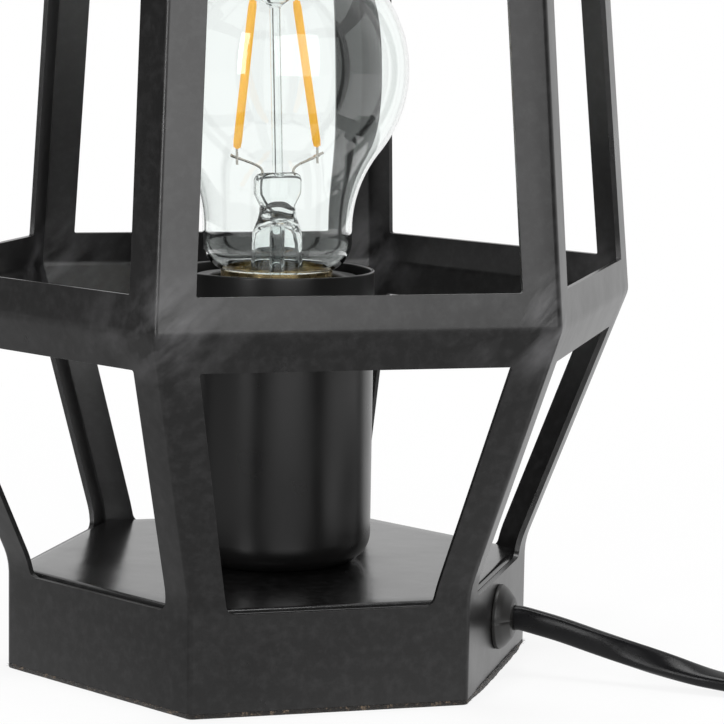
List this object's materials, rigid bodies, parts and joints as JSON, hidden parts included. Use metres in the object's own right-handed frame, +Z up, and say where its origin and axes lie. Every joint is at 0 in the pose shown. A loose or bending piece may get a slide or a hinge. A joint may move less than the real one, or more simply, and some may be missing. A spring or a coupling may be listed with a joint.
{
  "type": "lantern table lamp",
  "caption": "Open six-sided metal lantern lamp: a folded sheet cage on a low base, with a metal cup round a lampholder, a clear filament bulb and a mains lead with an in-line switch and plug.",
  "frame": {"origin": "centre of the underside of the base, on the lamp's axis, where it stands on the table", "axes": "+Z up along the bulb's axis; -Y is the front side; the lead leaves the side that faces 30 degrees to the right of the front, towards +X"},
  "size_m": [0.3529, 0.1675, 0.24],
  "materials": {
    "black_powder_coat": "satin powder coat",
    "black_lacquer": "satin lacquer",
    "fibreboard": "raw",
    "black_felt": "felt",
    "black_plastic": "gloss",
    "holder_plastic": "matt",
    "cream_plastic": "matt",
    "brass": "polished",
    "zinc_steel": "zinc plated",
    "lead_pvc": "smooth PVC",
    "core_brown_pvc": "smooth PVC",
    "core_blue_pvc": "smooth PVC",
    "clear_glass": "clear",
    "stem_glass": "clear",
    "amber_filament": "phosphor coat",
    "cap_metal": "nickel-brass",
    "black_glass": "vitrite",
    "solder": "tinned",
    "nickel_pins": "nickel plated"
  },
  "bodies": {
    "lamp": {"side_panel_1": "black_powder_coat", "side_panel_2": "black_powder_coat", "side_panel_3": "black_powder_coat", "side_panel_4": "black_powder_coat", "side_panel_5": "black_powder_coat", "side_panel_6": "black_powder_coat", "base_plate": "black_lacquer", "bottom_board": "fibreboard", "felt_pad": "black_felt", "lead_bushing": "black_plastic", "holder_cup": "black_lacquer", "holder_foot": "holder_plastic", "holder_sleeve": "holder_plastic", "holder_insert": "cream_plastic", "screw_shell": "brass", "centre_contact": "brass", "terminal_blocks": "brass", "terminal_screws": "zinc_steel", "threaded_tube": "zinc_steel", "tube_nut": "zinc_steel", "tube_washer": "zinc_steel", "inner_lead": "lead_pvc", "core_brown": "core_brown_pvc", "core_blue": "core_blue_pvc", "lead_to_switch": "lead_pvc", "lead_to_coil": "lead_pvc", "lead_coil": "lead_pvc", "lead_to_plug": "lead_pvc", "coil_tie": "black_plastic", "switch_base": "black_plastic", "switch_cover": "black_plastic", "switch_contacts": "brass", "switch_screws": "zinc_steel", "plug_body": "black_plastic", "plug_sleeves": "black_plastic", "plug_pins": "nickel_pins"},
    "bulb": {"bulb_glass": "clear_glass", "bulb_stem": "stem_glass", "bulb_filaments": "amber_filament", "bulb_wires": "solder", "bulb_cap": "cap_metal", "bulb_insulator": "black_glass", "bulb_contact": "solder"},
    "switch_rocker": {"switch_rocker": "black_plastic"}
  },
  "joints": [
    {"name": "bulb_lift", "type": "slide", "parent": "lamp", "child": "bulb", "axis": [0, 0, 1], "range_m": [0, 0.035]},
    {"name": "rocker_tip", "type": "hinge", "parent": "lamp", "child": "switch_rocker", "pos_m": [0.253, -0.008, 0.013], "axis": [1, 0, 0], "range_deg": [0, 16]}
  ]
}
